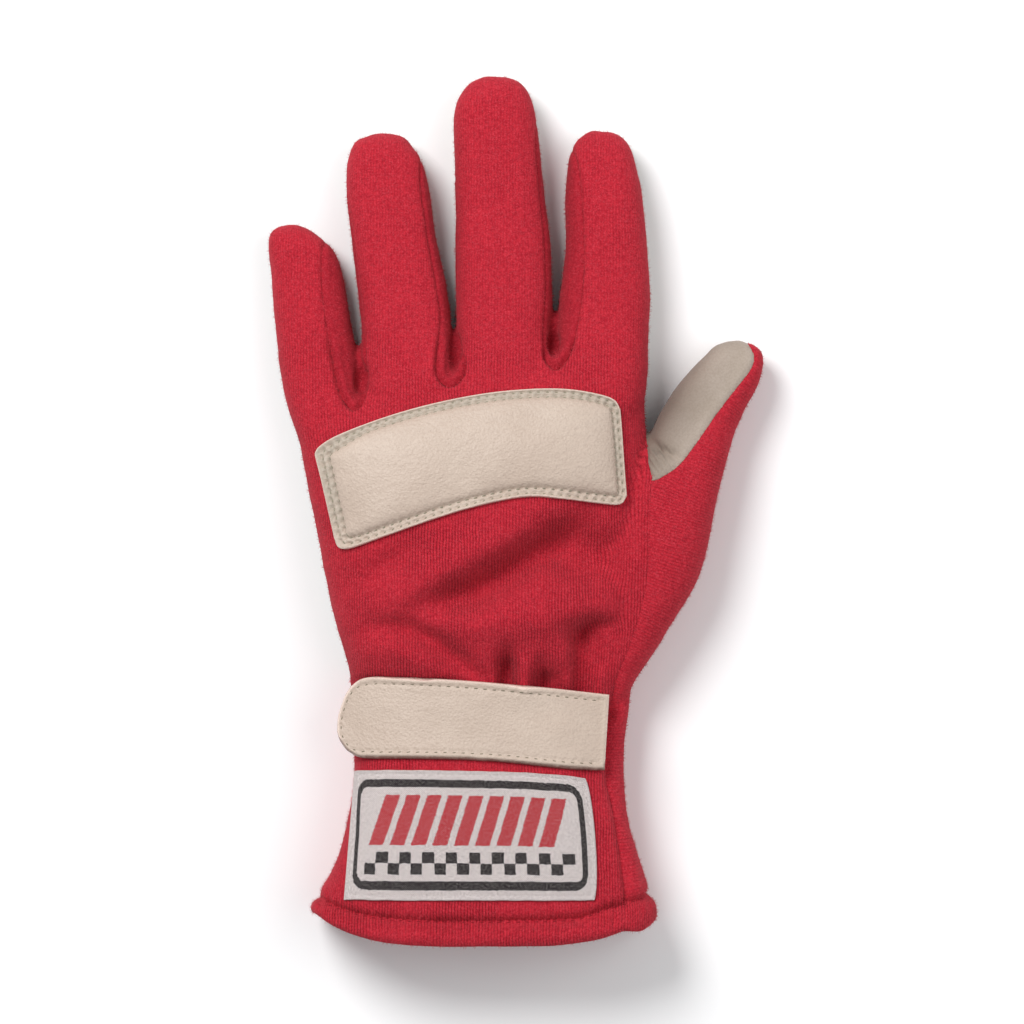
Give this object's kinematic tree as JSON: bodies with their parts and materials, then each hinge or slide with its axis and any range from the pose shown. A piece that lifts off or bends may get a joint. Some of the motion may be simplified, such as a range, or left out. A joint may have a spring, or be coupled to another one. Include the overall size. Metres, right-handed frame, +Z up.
{
  "type": "racing glove",
  "caption": "Left-hand racing glove lying on its palm: knit back and fingers, leather palm and thumb face, padded knuckle patch, wrist strap and flared cuff with a plain woven label",
  "frame": {"origin": "the middle of the glove's outline seen from above, at the height of the surface it lies on", "axes": "+Y runs from the cuff to the fingertips, +Z up out of the back of the hand, +X toward the thumb"},
  "size_m": [0.1437, 0.2521, 0.0384],
  "materials": {
    "knit": "fleeced red knit, matt",
    "suede": "grey brushed leather, matt",
    "cream_leather": "cream smooth leather, satin",
    "label_cloth": "off-white woven, matt"
  },
  "bodies": {
    "root": {"back_panel": "knit", "fourchette_little_ring": "knit", "fourchette_ring_middle": "knit", "fourchette_middle_index": "knit", "side_panel": "knit", "cuff_hem": "knit", "palm_panel": "suede", "thumb_face": "suede", "knuckle_patch": "cream_leather", "wrist_strap": "cream_leather", "cuff_label": "label_cloth"}
  },
  "joints": []
}
